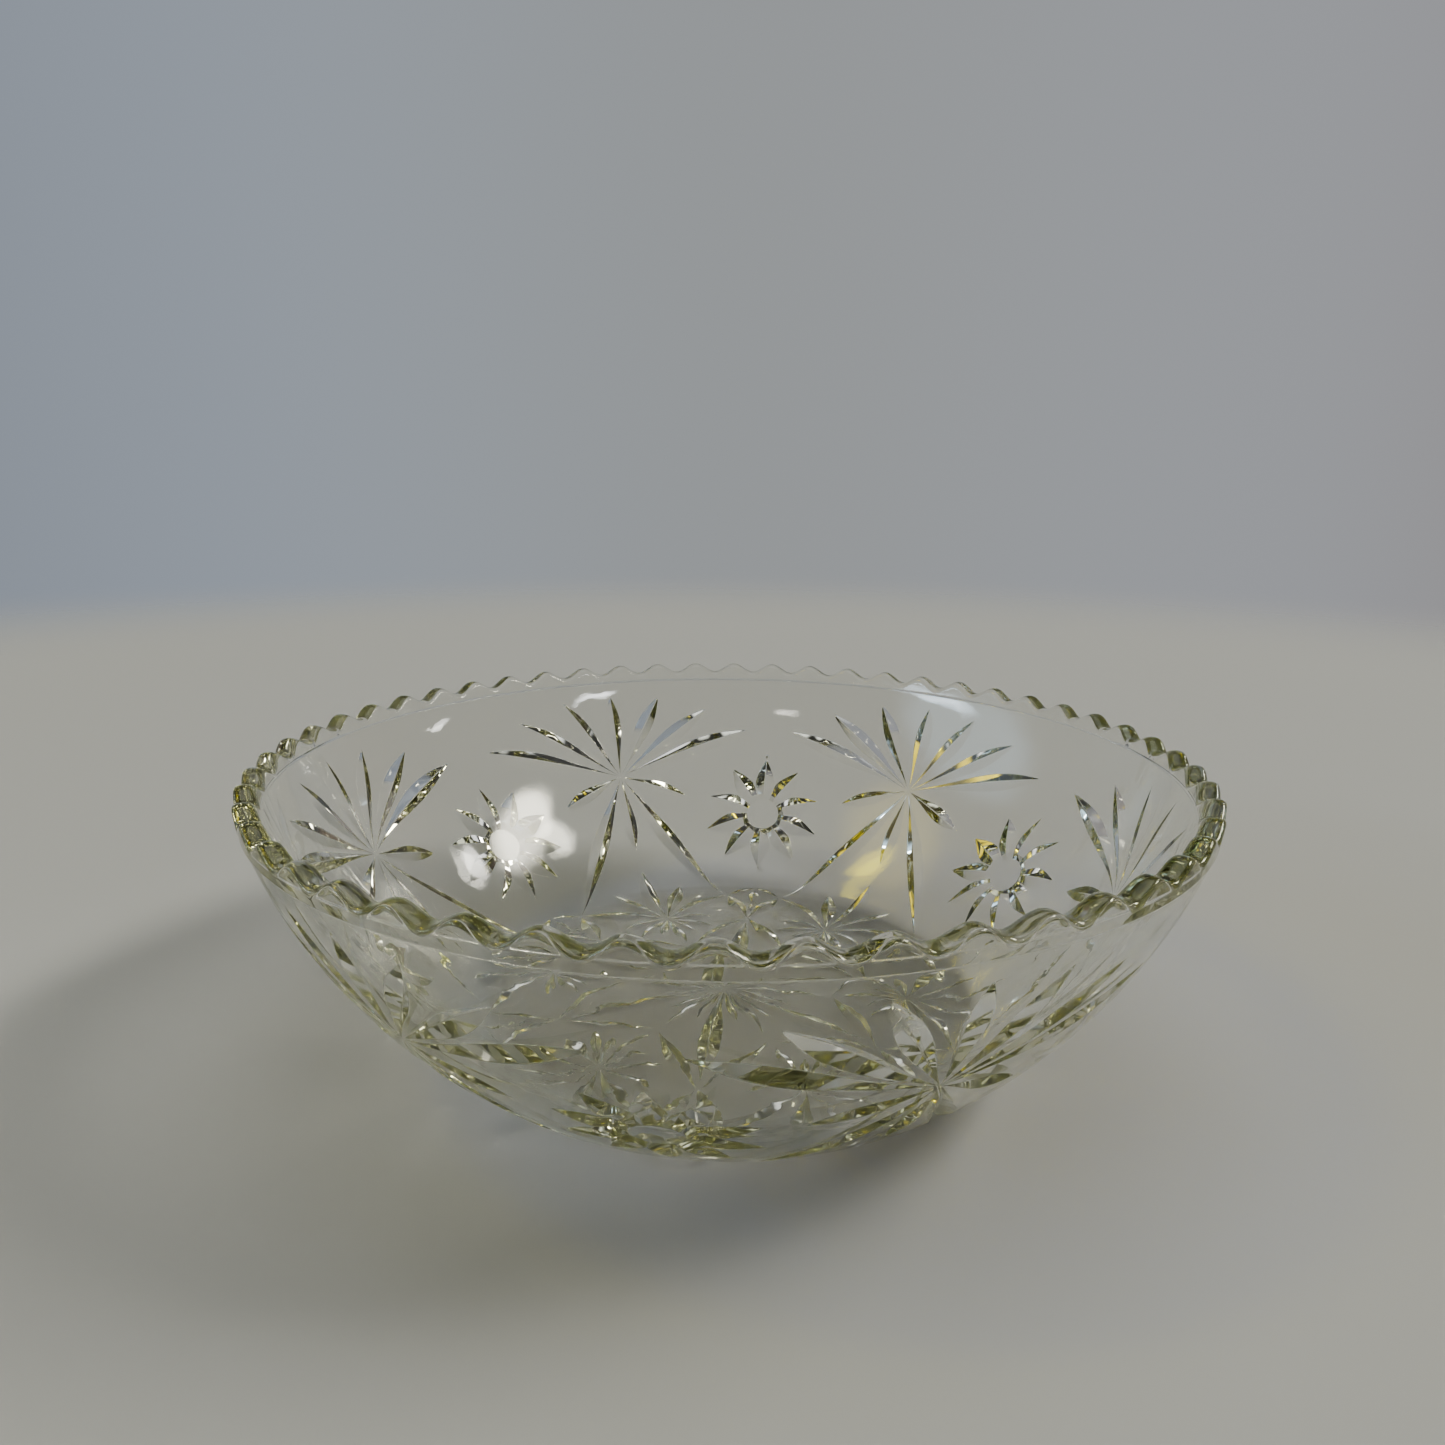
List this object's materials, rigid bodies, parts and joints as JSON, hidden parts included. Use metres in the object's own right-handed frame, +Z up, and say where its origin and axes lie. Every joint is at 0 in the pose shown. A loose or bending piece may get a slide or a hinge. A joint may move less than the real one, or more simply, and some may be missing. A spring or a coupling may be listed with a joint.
{
  "type": "punch bowl",
  "caption": "Round clear pressed-glass bowl with a scalloped rim, flared side and flat base, cut outside with fans, rosettes and stars, for serving punch.",
  "frame": {"origin": "centre of the flat base, on the plane that the bowl rests on", "axes": "+Z up along the bowl's axis; a rosette is centred on +Y and another on -Y; +X points between two rosettes, through a fan"},
  "size_m": [0.2746, 0.2746, 0.0867],
  "materials": {
    "clear_glass": "fire-polished clear pressed glass with a faint straw-green tint, smooth inside, V-cut pattern outside"
  },
  "bodies": {
    "root": {"bowl": "clear_glass"}
  },
  "joints": []
}
